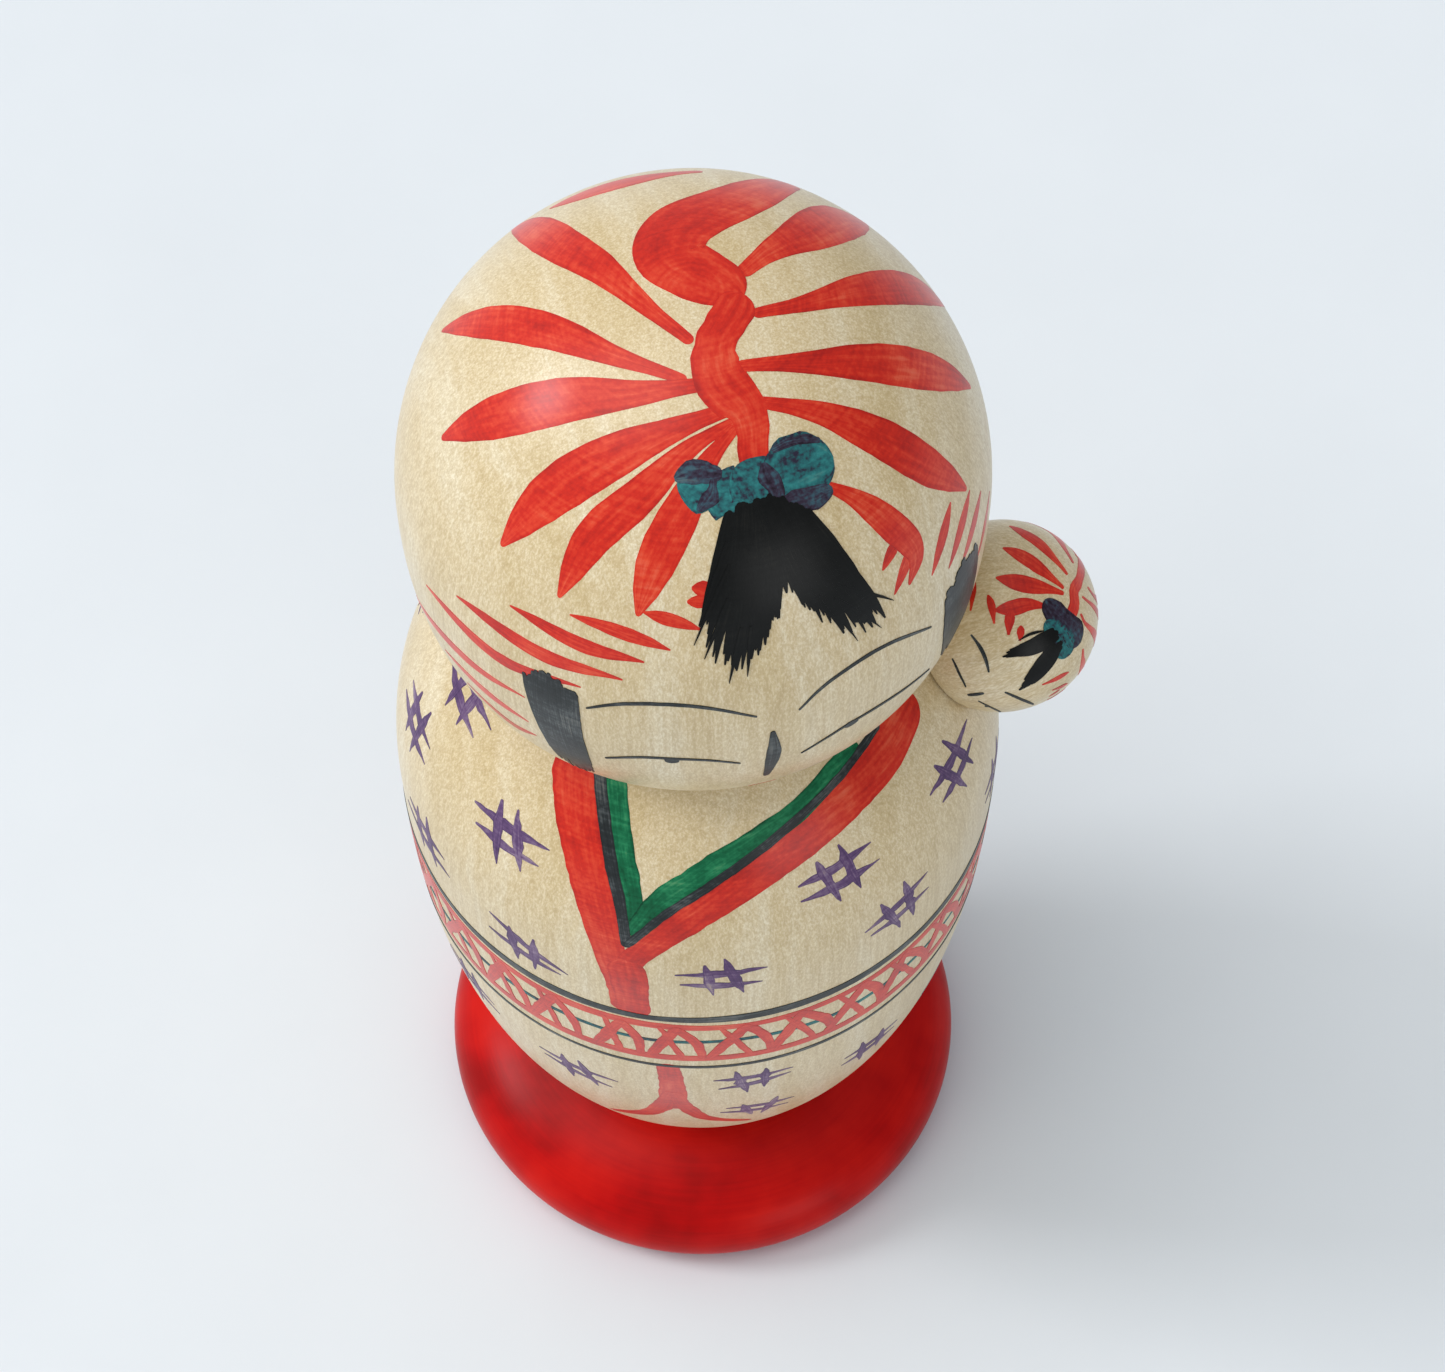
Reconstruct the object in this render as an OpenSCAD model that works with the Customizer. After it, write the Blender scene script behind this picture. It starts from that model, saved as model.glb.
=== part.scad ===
// A turned wooden doll: a round-headed figure on a domed foot, with a
// smaller head pegged to its left shoulder. Front faces -Y, +Z is up,
// and the origin is the centre of the foot's flat underside.

/* [Base] */
// Diameter of the domed foot at its widest
base_d = 59.6; // [54:0.2:66]
// Height of the foot's widest level above the table
base_rim_z = 4.4; // [3.6:0.1:6]
// Height of the dome above the widest level
dome_h = 10.9; // [10.6:0.1:12]
// Fullness of the dome, 2 is an ellipse
dome_n = 2.23; // [2:0.05:3]
// Width of the rounded lower edge
foot_edge_w = 7; // [4:0.5:10]

/* [Body] */
// Diameter of the body at its widest
body_d = 61.2; // [58:0.2:64]
// Height of the body's widest level
body_widest_z = 76.5; // [75:0.1:78]
// Height of the whole shoulder curve above the widest level
shoulder_h = 29.3; // [28:0.1:31]
// Fullness of the shoulder, 2 is an ellipse
shoulder_n = 2.32; // [2.1:0.01:2.6]
// Depth of the whole lower curve below the widest level
taper_h = 67.4; // [66:0.1:70]
// Fullness of the lower curve, 2 is an ellipse
taper_n = 2.45; // [2.2:0.05:2.8]
// Height of the joint between foot and body
foot_joint_z = 14.2; // [13.6:0.1:14.6]
// Height of the joint between body and head
neck_joint_z = 101.1; // [100.5:0.1:101.8]

/* [Mother head] */
// Diameter of the head at its widest
head_d = 54; // [50:0.2:54.4]
// Height of the head's widest level
head_widest_z = 123.1; // [122.8:0.1:125]
// Height of the crown above the widest level
crown_h = 28.2; // [26:0.1:30]
// Fullness of the crown, 2 is an ellipse
crown_n = 2.03; // [2:0.01:2.4]
// Depth of the whole jaw curve below the widest level
jaw_h = 26.7; // [25:0.1:28]
// Fullness of the jaw, 2 is an ellipse
jaw_n = 2.54; // [2.2:0.02:2.8]
// Gap between the head and the body, so that the head turns freely
neck_gap = 0.3; // [0.2:0.05:0.5]

/* [Baby head] */
// Diameter of the small head at its widest
baby_d = 18.6; // [16:0.2:18.8]
// Direction of the small head round the body, from the front towards the left shoulder
baby_azimuth = 100; // [85:1:105]
// Lean of the small head's axis away from upright
baby_tilt = 55; // [52:1:58]
// Distance of the small head's centre from the doll's axis
baby_reach = 29.5; // [29.3:0.1:30]
// Height of the small head's centre
baby_z = 98.2; // [97.5:0.1:98.3]
// Distance from the small head's centre to its flat seat on the shoulder
baby_seat = 6; // [5.8:0.1:6.2]
// Fullness of the small head, 2 is a ball
baby_n = 2.06; // [2:0.02:2.2]
// Gap between the small head and its seat, so that it turns freely
baby_gap = 0.2; // [0.15:0.05:0.3]

/* [Pegs] */
// Diameter of the neck peg
neck_peg_d = 10; // [8:0.5:12]
// Length of the neck peg on each side of its joint
neck_peg_half = 17; // [12:0.5:20]
// Diameter of the small head's peg
baby_peg_d = 4; // [3:0.5:5]
// Length of the small peg inside the shoulder
baby_peg_in = 9; // [7:0.5:11]
// Length of the small peg inside the small head
baby_peg_out = 7; // [5:0.5:9]
// Diameter of the foot peg
base_peg_d = 12; // [8:0.5:14]
// Length of the foot peg inside the foot
base_peg_down = 8; // [5:0.5:10]
// Length of the foot peg inside the body
base_peg_up = 12; // [8:0.5:20]
// Radial clearance of a glued peg in its hole
glue_gap = 0.02; // [0.01:0.01:0.05]
// Radial clearance of a peg that its head turns on
turn_gap = 0.05; // [0.03:0.01:0.1]

/* [Hidden] */
$fn = 128;
PROFILE_STEPS = 28;
EDGE_STEPS = 10;
PEG_CHAMFER = 0.8;
SMALL_PEG_CHAMFER = 0.5;
HOLE_SPARE = 1;
WOOD = "burlywood";
DYED_RED = "firebrick";

// Fraction of the full radius left at height fraction f of a curve of fullness n
function fullness(f, n) = pow(1 - pow(f, n), 1 / n);

// Profile points from the widest level to height fraction f_end of a curve that is
// h high, r wide and n full, worked out at equal angles so that it stays smooth at the pole
function curve_points(r, h, n, f_end) =
    let (a_end = acos(pow(fullness(f_end, n), n / 2)))
    [for (i = [0:PROFILE_STEPS])
        let (a = a_end * i / PROFILE_STEPS)
        [r * pow(max(0, cos(a)), 2 / n), h * pow(sin(a), 2 / n)]];

// The same list in the opposite order
function backwards(points) = [for (i = [len(points) - 1:-1:0]) points[i]];

function raised(points, z) = [for (p = points) [p[0], z + p[1]]];
function lowered(points, z) = [for (p = points) [p[0], z - p[1]]];

// A solid turned from a profile that runs from its lowest to its highest point
module turned(points) {
    z_low = points[0][1];
    z_high = points[len(points) - 1][1];
    rotate_extrude() polygon(concat([[0, z_low]], points, [[0, z_high]]));
}

// A peg from z = -down to z = up, with both ends chamfered
module peg(d, down, up, chamfer) {
    translate([0, 0, -down]) cylinder(h = chamfer, r1 = d / 2 - chamfer, r2 = d / 2);
    translate([0, 0, chamfer - down]) cylinder(h = up + down - 2 * chamfer, r = d / 2);
    translate([0, 0, up - chamfer]) cylinder(h = chamfer, r1 = d / 2, r2 = d / 2 - chamfer);
}

// A hole for a peg, with spare depth at each end
module peg_hole(d, gap, down, up) {
    translate([0, 0, -down - HOLE_SPARE]) cylinder(h = down + up + 2 * HOLE_SPARE, r = d / 2 + gap);
}

// Puts its children on the small head's own axis, with that head's centre at z = 0
module on_baby_axis() {
    rotate([0, 0, baby_azimuth - 90])
        translate([baby_reach, 0, baby_z])
            rotate([0, baby_tilt, 0]) children();
}

module base() {
    edge = [for (i = [0:EDGE_STEPS])
        let (a = 90 * (1 - i / EDGE_STEPS))
        [base_d / 2 - foot_edge_w * (1 - cos(a)), base_rim_z * (1 - sin(a))]];
    dome = raised(curve_points(base_d / 2, dome_h, dome_n,
                               (foot_joint_z - base_rim_z) / dome_h), base_rim_z);
    dome_only = [for (i = [1:PROFILE_STEPS]) dome[i]];
    color(DYED_RED) difference() {
        turned(concat(edge, dome_only));
        translate([0, 0, foot_joint_z]) peg_hole(base_peg_d, glue_gap, base_peg_down, 0);
    }
}

module base_peg() {
    color(WOOD) translate([0, 0, foot_joint_z]) peg(base_peg_d, base_peg_down, base_peg_up, PEG_CHAMFER);
}

module body() {
    taper = lowered(curve_points(body_d / 2, taper_h, taper_n,
                                 (body_widest_z - foot_joint_z) / taper_h), body_widest_z);
    shoulder = raised(curve_points(body_d / 2, shoulder_h, shoulder_n,
                                   (neck_joint_z - body_widest_z) / shoulder_h), body_widest_z);
    shoulder_only = [for (i = [1:PROFILE_STEPS]) shoulder[i]];
    color(WOOD) difference() {
        turned(concat(backwards(taper), shoulder_only));
        translate([0, 0, neck_joint_z]) peg_hole(neck_peg_d, glue_gap, neck_peg_half, 0);
        translate([0, 0, foot_joint_z]) peg_hole(base_peg_d, glue_gap, 0, base_peg_up);
        on_baby_axis() translate([0, 0, -baby_seat]) {
            cylinder(h = baby_seat, r = baby_d / 2);
            peg_hole(baby_peg_d, glue_gap, baby_peg_in, 0);
        }
    }
}

module neck_peg() {
    color(WOOD) translate([0, 0, neck_joint_z])
        peg(neck_peg_d, neck_peg_half, neck_peg_half, PEG_CHAMFER);
}

module mother_head() {
    jaw = lowered(curve_points(head_d / 2, jaw_h, jaw_n,
                               (head_widest_z - neck_joint_z - neck_gap) / jaw_h), head_widest_z);
    crown = raised(curve_points(head_d / 2, crown_h, crown_n, 1), head_widest_z);
    crown_only = [for (i = [1:PROFILE_STEPS - 1]) crown[i]];
    color(WOOD) difference() {
        turned(concat(backwards(jaw), crown_only, [[0, head_widest_z + crown_h]]));
        translate([0, 0, neck_joint_z]) peg_hole(neck_peg_d, turn_gap, 0, neck_peg_half);
    }
}

module baby_peg() {
    color(WOOD) on_baby_axis() translate([0, 0, -baby_seat])
        peg(baby_peg_d, baby_peg_in, baby_peg_out, SMALL_PEG_CHAMFER);
}

module baby_head() {
    r = baby_d / 2;
    lower = lowered(curve_points(r, r, baby_n, (baby_seat - baby_gap) / r), 0);
    upper = curve_points(r, r, baby_n, 1);
    upper_only = [for (i = [1:PROFILE_STEPS - 1]) upper[i]];
    color(WOOD) on_baby_axis() difference() {
        turned(concat(backwards(lower), upper_only, [[0, r]]));
        translate([0, 0, -baby_seat]) peg_hole(baby_peg_d, turn_gap, 0, baby_peg_out);
    }
}

base();
base_peg();
body();
neck_peg();
mother_head();
baby_peg();
baby_head();
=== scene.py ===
import math
from collections import namedtuple

import bpy
import numpy as np
from mathutils import Matrix, Vector


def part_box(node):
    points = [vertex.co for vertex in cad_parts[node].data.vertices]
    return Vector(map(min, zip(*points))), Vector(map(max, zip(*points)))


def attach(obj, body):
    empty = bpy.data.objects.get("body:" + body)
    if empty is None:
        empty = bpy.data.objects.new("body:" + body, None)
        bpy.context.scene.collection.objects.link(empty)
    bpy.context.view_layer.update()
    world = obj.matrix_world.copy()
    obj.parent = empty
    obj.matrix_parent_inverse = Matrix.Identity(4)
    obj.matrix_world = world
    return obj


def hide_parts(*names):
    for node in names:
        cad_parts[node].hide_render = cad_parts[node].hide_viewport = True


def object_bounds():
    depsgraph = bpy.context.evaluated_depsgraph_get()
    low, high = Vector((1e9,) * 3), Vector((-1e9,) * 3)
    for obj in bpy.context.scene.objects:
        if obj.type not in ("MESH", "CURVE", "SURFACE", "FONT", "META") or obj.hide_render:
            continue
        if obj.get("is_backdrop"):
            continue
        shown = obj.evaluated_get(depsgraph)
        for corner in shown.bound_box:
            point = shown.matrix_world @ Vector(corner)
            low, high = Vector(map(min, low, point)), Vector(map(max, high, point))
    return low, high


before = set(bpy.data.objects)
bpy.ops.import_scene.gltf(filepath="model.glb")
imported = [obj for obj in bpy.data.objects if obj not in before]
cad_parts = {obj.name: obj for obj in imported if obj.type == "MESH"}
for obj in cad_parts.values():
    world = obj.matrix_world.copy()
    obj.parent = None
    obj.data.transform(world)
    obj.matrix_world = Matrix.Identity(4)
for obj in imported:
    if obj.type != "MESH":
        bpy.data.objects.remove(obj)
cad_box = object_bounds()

# --------------------------------------------------------------------
# The body: one egg-shaped turning of pale, close-grained dogwood, cut flat at the neck and
# the foot, drilled at both ends for its dowels, with a flat spot on the left shoulder
# where the small head sits. It was sanded on the lathe, painted and burnished with wax.
# --------------------------------------------------------------------
MM = 0.001
BODY_LOW, BODY_HIGH = (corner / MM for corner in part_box("body"))
BODY_RADIUS = BODY_HIGH.x
BODY_WIDEST = 76.5
SHOULDER_HIGH, SHOULDER_FULL = 29.3, 2.32
TAPER_DEEP, TAPER_FULL = 67.4, 2.45
NECK_HOLE, NECK_HOLE_DEEP = 5.02, 18.0
FOOT_HOLE, FOOT_HOLE_DEEP = 6.02, 13.0
SOFT_EDGE = 0.5
BABY_TURN, BABY_LEAN, BABY_REACH, BABY_MIDDLE, BABY_SEAT = 100.0, 55.0, 29.5, 98.2, 6.0
# The longest steps along an outline in mm, to measure the skin and to make the mesh.
SKIN_STEP, LATHE_STEP = 0.6, 0.9
LATHE_CORNER = math.radians(50)
# Where the next piece's block lay in the tree, in mm, so that no two pieces share their grain.
NEXT_BLOCK = np.array([17.0, 5.0, 40.0])

# Turned: the outer skin of a turned piece from its top centre to its bottom centre, as arrays
# of radius and height in mm, with the distance down the skin, the angle seen from the middle,
# the outward direction, where the painter starts to measure, the height of the middle, where
# the piece stands in the doll, and the number of its block of wood.
Turned = namedtuple("Turned", "radius height down angle out rise start middle place seed")


def swell(radius, high, full, until, steps=64):
    """Quarter of a rounded outline from its widest level up: at equal angles a, the radius is
    radius*cos(a)^(2/full) and the height high*sin(a)^(2/full), stopping at height `until`."""
    left = (1 - min(until / high, 1) ** full) ** (1 / full)
    a = np.linspace(0, math.acos(left ** (full / 2)), steps)
    return radius * np.cos(a).clip(0) ** (2 / full), high * np.sin(a) ** (2 / full)


def eased(corner, before, after, steps=6):
    """A worn corner: points on a parabola from `before` to `after` that the corner pulls outward."""
    t = np.linspace(0, 1, steps)[:, None]
    ends = (1 - t) ** 2 * np.array(before) + t ** 2 * np.array(after)
    return ends + 2 * t * (1 - t) * np.array(corner)


def evenly(outline, step):
    """The outline with its long stretches cut into pieces no longer than `step`."""
    gaps = np.hypot(*np.diff(outline, axis=0).T)
    parts = [a + (b - a) * np.linspace(0, 1, max(1, math.ceil(g / step)), endpoint=False)[:, None]
             for a, b, g in zip(outline[:-1], outline[1:], gaps)]
    return np.vstack(parts + [outline[-1:]])


def skin_of(outline, start, middle, place, seed):
    """The Turned arrays of an outline: distance along it, polar angle about the middle, and the
    outward direction, which is the outline's own direction turned a quarter turn."""
    r, z = evenly(outline, SKIN_STEP).T
    down = np.r_[0, np.cumsum(np.hypot(np.diff(r), np.diff(z)))]
    dr, dz = np.gradient(r, down), np.gradient(z, down)
    size = np.hypot(dr, dz)
    return Turned(r, z, down, np.arctan2(r, z - middle), -dz / size, dr / size,
                  start, middle, place, seed)


def into_doll(place, points):
    """Points in mm in a piece's own turning frame, moved into the doll's frame in metres."""
    turn = np.array(place.to_3x3())
    return (points @ turn.T + np.array(place.translation)) * MM


def fill_mesh(name, points, faces, block, down, material, uv=None):
    """A new piece from points in metres. `block` is each point's place in its block of wood and
    `down` its distance down the turned skin, both in mm, which the wood's pattern follows. `uv`
    is mm along a brush stroke and how far across it."""
    mesh = bpy.data.meshes.new(name)
    mesh.from_pydata(points.tolist(), [], faces)
    place = mesh.attributes.new("block_mm", "FLOAT_VECTOR", "POINT")
    place.data.foreach_set("vector", block.astype(np.float32).ravel())
    depth = mesh.attributes.new("down_mm", "FLOAT", "POINT")
    depth.data.foreach_set("value", down.astype(np.float32).ravel())
    if uv is not None:
        corner = np.empty(len(mesh.loops), np.int32)
        mesh.loops.foreach_get("vertex_index", corner)
        mesh.uv_layers.new(name="brush").data.foreach_set("uv", uv[corner].astype(np.float32).ravel())
    mesh.shade_smooth()
    mesh.materials.append(material)
    mesh.update()
    piece = bpy.data.objects.new(name, mesh)
    bpy.context.scene.collection.objects.link(piece)
    return piece


def lathe(name, outline, place, seed, material, turns=256, shave=None):
    """A closed turning: each outline point (r, z) is carried round the axis as
    (r sin t, -r cos t, z), with one point for each end of the outline that is on the axis.
    `shave` moves the points of a place that is cut after the turning."""
    r, z = evenly(np.array(outline), LATHE_STEP).T
    down = np.r_[0, np.cumsum(np.hypot(np.diff(r), np.diff(z)))]
    t = np.arange(turns) * 2 * math.pi / turns
    rows, around = len(r) - 2, np.arange(turns)
    ring = np.stack([r[1:-1, None] * np.sin(t), -r[1:-1, None] * np.cos(t),
                     np.repeat(z[1:-1, None], turns, 1)], -1).reshape(-1, 3)
    points = np.vstack([ring, [0, 0, z[0]], [0, 0, z[-1]]])
    depth = np.r_[np.repeat(down[1:-1], turns), 0, down[-1]]
    if shave is not None:
        points = shave(points)
    a = (np.arange(rows - 1)[:, None] * turns + around).ravel()
    b = (np.arange(rows - 1)[:, None] * turns + np.roll(around, -1)).ravel()
    quads = np.stack([a, a + turns, b + turns, b], -1).tolist()
    top, bottom, last = rows * turns, rows * turns + 1, (rows - 1) * turns
    caps = [[top, i, (i + 1) % turns] for i in range(turns)]
    caps += [[bottom, last + (i + 1) % turns, last + i] for i in range(turns)]
    block = points + NEXT_BLOCK * seed
    piece = fill_mesh(name, into_doll(place, points), quads + caps, block, depth, material)
    piece.data.set_sharp_from_angle(angle=LATHE_CORNER)
    return piece


def linear(code):
    """A linear colour from an sRGB hex code."""
    channels = np.array([int(code[i:i + 2], 16) for i in (1, 3, 5)]) / 255
    light = np.where(channels <= 0.04045, channels / 12.92, ((channels + 0.055) / 1.055) ** 2.4)
    return (*light.tolist(), 1.0)


def add(tree, kind, inputs=None, stops=(), **settings):
    """One shader node with its settings, and its inputs filled with values or linked to sockets.
    `stops` are the (position, hex code) pairs of a colour ramp."""
    made = tree.nodes.new("ShaderNode" + kind)
    for name, value in settings.items():
        setattr(made, name, value)
    for socket, value in (inputs or {}).items():
        if isinstance(value, bpy.types.NodeSocket):
            tree.links.new(value, made.inputs[socket])
        else:
            made.inputs[socket].default_value = value
    for _ in stops[2:]:
        made.color_ramp.elements.new(0.5)
    for i, (position, code) in enumerate(stops):
        element = made.color_ramp.elements[i]
        element.position, element.color = position, linear(code)
    return made


def new_material(name):
    """An empty material with its tree, its surface shader and its output."""
    material = bpy.data.materials.new(name)
    material.use_nodes = True
    tree = material.node_tree
    tree.nodes.clear()
    shader = add(tree, "BsdfPrincipled")
    add(tree, "OutputMaterial", {"Surface": shader.outputs["BSDF"]})
    return material, tree, shader


# How many growth layers, fibres, pores and lathe rings there are to a millimetre. The real
# pores are finer still, and are drawn as coarse as they need to be to show.
LAYERS, FIBRES, PORES, RINGS = 0.3, 2.4, 5.5, 2.8
FIBRES_UP, PORES_UP = 0.07, 1.8
# The layers wander 7 mm to the side over 22 mm, and change more slowly from front to back and
# upwards than across. The rings are nearly the same all round.
WAVES, WAVE_MM = 0.045, 7.0
LAYERS_BACK, LAYERS_UP, RINGS_ROUND = 0.16, 0.03, 0.09


def dogwood(tree):
    """The wood itself, shared by bare and dyed places. Growth layers a little over 3 mm apart
    wander through the block and show as soft upright bands; fibres are streaks 0.4 mm wide and
    14 mm long; pores are pale flecks 0.2 mm wide, long on the sides and round on the end grain
    of the crown, their paleness partly the pores' own tone and partly a painted glint of the wax
    in them; the last cut of the lathe leaves rings 0.36 mm apart. Returns the colour, the
    relief and the rings."""
    block = add(tree, "Attribute", attribute_name="block_mm").outputs["Vector"]
    down = add(tree, "Attribute", attribute_name="down_mm").outputs["Fac"]
    x, y, z = add(tree, "SeparateXYZ", {"Vector": block}).outputs
    wander = add(tree, "TexNoise", {"Vector": block, "Scale": WAVES, "Detail": 2.0}).outputs["Fac"]
    shifted = add(tree, "Math", {0: wander, 1: WAVE_MM, 2: x}, operation="MULTIPLY_ADD").outputs[0]
    slow_y = add(tree, "Math", {0: y, 1: LAYERS_BACK}, operation="MULTIPLY").outputs[0]
    slow_z = add(tree, "Math", {0: z, 1: LAYERS_UP}, operation="MULTIPLY").outputs[0]
    layered = add(tree, "CombineXYZ", {0: shifted, 1: slow_y, 2: slow_z}).outputs[0]
    layers = add(tree, "TexNoise", {"Vector": layered, "Scale": LAYERS, "Detail": 4.0,
                                    "Roughness": 0.6}).outputs["Fac"]
    along = add(tree, "Mapping", {"Vector": block, "Scale": (FIBRES, FIBRES, FIBRES_UP)}).outputs[0]
    fibres = add(tree, "TexNoise", {"Vector": along, "Scale": 1.0, "Detail": 3.0}).outputs["Fac"]
    fleck = add(tree, "Mapping", {"Vector": block, "Scale": (PORES, PORES, PORES_UP)}).outputs[0]
    pores = add(tree, "TexNoise", {"Vector": fleck, "Scale": 1.0, "Detail": 2.0,
                                   "Roughness": 0.7}).outputs["Fac"]
    ring_x = add(tree, "Math", {0: x, 1: RINGS_ROUND}, operation="MULTIPLY").outputs[0]
    ring_y = add(tree, "Math", {0: y, 1: RINGS_ROUND}, operation="MULTIPLY").outputs[0]
    ring_d = add(tree, "Math", {0: down, 1: RINGS}, operation="MULTIPLY").outputs[0]
    ringed = add(tree, "CombineXYZ", {0: ring_x, 1: ring_y, 2: ring_d}).outputs[0]
    rings = add(tree, "TexNoise", {"Vector": ringed, "Scale": 1.0, "Detail": 1.0}).outputs["Fac"]
    tone = add(tree, "ValToRGB", {"Fac": layers},
               [(0.36, "#ddcaa2"), (0.5, "#e4d3b0"), (0.64, "#eaddc1")]).outputs[0]
    streaked = add(tree, "ValToRGB", {"Fac": fibres},
                   [(0.3, "#e2d8c4"), (0.62, "#ffffff")]).outputs[0]
    # Pale flecks at the pores: partly the pores' lighter tone, partly a painted glint of the wax in them.
    pore_fleck_and_glint = add(tree, "ValToRGB", {"Fac": pores},
                [(0.4, "#dfd2b2"), (0.53, "#f0e8d5"), (0.6, "#ffffff")]).outputs[0]
    first = add(tree, "Mix", {0: 0.6, 6: tone, 7: streaked}, data_type="RGBA",
                blend_type="MULTIPLY").outputs[2]
    colour = add(tree, "Mix", {0: 0.65, 6: first, 7: pore_fleck_and_glint}, data_type="RGBA",
                 blend_type="MULTIPLY").outputs[2]
    relief = add(tree, "Math", {0: rings, 1: 0.6, 2: pores}, operation="MULTIPLY_ADD").outputs[0]
    return colour, relief, rings


WAX_IOR, WAX_ROUGHNESS = 1.44, 0.28


def wax(tree, shader, relief, roughness, coat, gleam, depth=0.04):
    """Burnished wax: a thin clear coat over the wood's own satin, with the pores and lathe rings
    as relief `depth` mm deep, which breaks up the sheen. `gleam` is how much the wood itself
    mirrors."""
    bump = add(tree, "Bump", {"Height": relief, "Strength": 0.5, "Distance": depth * MM})
    tree.links.new(bump.outputs[0], shader.inputs["Normal"])
    shader.inputs["Roughness"].default_value = roughness
    shader.inputs["Specular IOR Level"].default_value = gleam
    shader.inputs["Coat Weight"].default_value = coat
    shader.inputs["Coat Roughness"].default_value = WAX_ROUGHNESS
    shader.inputs["Coat IOR"].default_value = WAX_IOR


def waxed_dogwood():
    """Bare dogwood, turned, sanded and waxed: pale straw, finely flecked, with a satin sheen. The
    pale flecks are partly the pores' own tone and partly a painted glint of wax in them.
    """
    material, tree, shader = new_material("waxed_dogwood")
    colour, relief, _ = dogwood(tree)
    tree.links.new(colour, shader.inputs["Base Color"])
    wax(tree, shader, relief, roughness=0.42, coat=0.4, gleam=0.5)
    return material


bare_wood = waxed_dogwood()

neck_r, neck_z = swell(BODY_RADIUS, SHOULDER_HIGH, SHOULDER_FULL, BODY_HIGH.z - BODY_WIDEST)
foot_r, foot_z = swell(BODY_RADIUS, TAPER_DEEP, TAPER_FULL, BODY_WIDEST - BODY_LOW.z)
shoulder = np.stack([neck_r, BODY_WIDEST + neck_z], 1)[::-1]
taper = np.stack([foot_r, BODY_WIDEST - foot_z], 1)[1:]
body_skin = np.vstack([[0, BODY_HIGH.z], shoulder, taper, [0, BODY_LOW.z]])
body_outline = np.vstack([
    [0, BODY_HIGH.z - NECK_HOLE_DEEP], [NECK_HOLE, BODY_HIGH.z - NECK_HOLE_DEEP],
    [NECK_HOLE, BODY_HIGH.z],
    eased(shoulder[0], shoulder[0] - [SOFT_EDGE, 0], shoulder[1]),
    shoulder[2:], taper[:-2],
    eased(taper[-1], taper[-2], taper[-1] - [SOFT_EDGE, 0]),
    [FOOT_HOLE, BODY_LOW.z], [FOOT_HOLE, BODY_LOW.z + FOOT_HOLE_DEEP],
    [0, BODY_LOW.z + FOOT_HOLE_DEEP]])

BABY_PLACE = (Matrix.Rotation(math.radians(BABY_TURN - 90), 4, "Z")
              @ Matrix.Translation((BABY_REACH, 0, BABY_MIDDLE))
              @ Matrix.Rotation(math.radians(BABY_LEAN), 4, "Y"))


def flat_spot(points):
    """The shoulder's flat spot: points of that side which stand above the seat plane of the small
    head are brought down onto the plane, straight along the small head's axis."""
    axis = np.array(BABY_PLACE.to_3x3().col[2])
    over = (points - np.array(BABY_PLACE.translation)) @ axis + BABY_SEAT
    return points - np.maximum(over, 0)[:, None] * axis * (points[:, :1] > BODY_RADIUS / 2)


UPRIGHT = Matrix.Identity(4)
body_wood = lathe("body_wood", body_outline, UPRIGHT, 1.0, bare_wood, shave=flat_spot)
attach(body_wood, "figure")
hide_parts("body")
body = skin_of(body_skin, neck_r[-1], BODY_WIDEST, UPRIGHT, 1.0)


# --------------------------------------------------------------------
# The mother's head: a ball of the same dogwood, a little taller than wide, turned with the
# grain upright and driven onto the neck dowel, on which it turns. Its face looks a little
# to the doll's left. Flat underneath, with the dowel's hole.
# --------------------------------------------------------------------
FACE_TURN = 25.0
HEAD_LOW, HEAD_HIGH = (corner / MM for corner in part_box("mother_head"))
HEAD_RADIUS = (HEAD_HIGH.x - HEAD_LOW.x) / 2
HEAD_WIDEST = 123.1
CROWN_FULL, JAW_HIGH, JAW_FULL = 2.03, 26.7, 2.54

crown_r, crown_z = swell(HEAD_RADIUS, HEAD_HIGH.z - HEAD_WIDEST, CROWN_FULL, HEAD_HIGH.z)
jaw_r, jaw_z = swell(HEAD_RADIUS, JAW_HIGH, JAW_FULL, HEAD_WIDEST - HEAD_LOW.z)
crown = np.stack([crown_r, HEAD_WIDEST + crown_z], 1)[::-1]
jaw = np.stack([jaw_r, HEAD_WIDEST - jaw_z], 1)[1:]
head_skin = np.vstack([crown, jaw, [0, HEAD_LOW.z]])
head_outline = np.vstack([
    [0, HEAD_HIGH.z], crown[1:], jaw[:-2],
    eased(jaw[-1], jaw[-2], jaw[-1] - [SOFT_EDGE, 0]),
    [NECK_HOLE, HEAD_LOW.z], [NECK_HOLE, HEAD_LOW.z + NECK_HOLE_DEEP],
    [0, HEAD_LOW.z + NECK_HOLE_DEEP]])
HEAD_PLACE = Matrix.Rotation(math.radians(FACE_TURN), 4, "Z")
mother_wood = lathe("mother_head_wood", head_outline, HEAD_PLACE, 2.0, bare_wood)
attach(mother_wood, "mother_head")
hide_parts("mother_head")
head = skin_of(head_skin, 0.0, HEAD_WIDEST, HEAD_PLACE, 2.0)


# --------------------------------------------------------------------
# The red flower on the mother's crown: dye brushed straight onto the wood in single
# strokes, a winding stem with a loop behind it and long petals that start from the stem.
# The dye soaks in, so the grain shows through and strokes are darker where they pool.
# --------------------------------------------------------------------
# A coat's lift is how far it stands off the wood in mm, and its step how much higher each next
# stroke lies. INTO_WOOD is how deep a stroke's rim is sunk, SEGMENT and COLUMN are the sizes of
# its mesh along and across, and its sides wander afresh every SHAKE mm.
INTO_WOOD = -0.04
SEGMENT, COLUMN = 0.45, 0.7
PAINT_EDGE = math.radians(20)
SHAKE = 0.8
LEAF = (0.1, 0.6, 0.9, 1.0, 0.96, 0.8, 0.55, 0.35, 0.25)
SPIKE = (0.1, 0.7, 1.0, 0.9, 0.6, 0.1)


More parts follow.
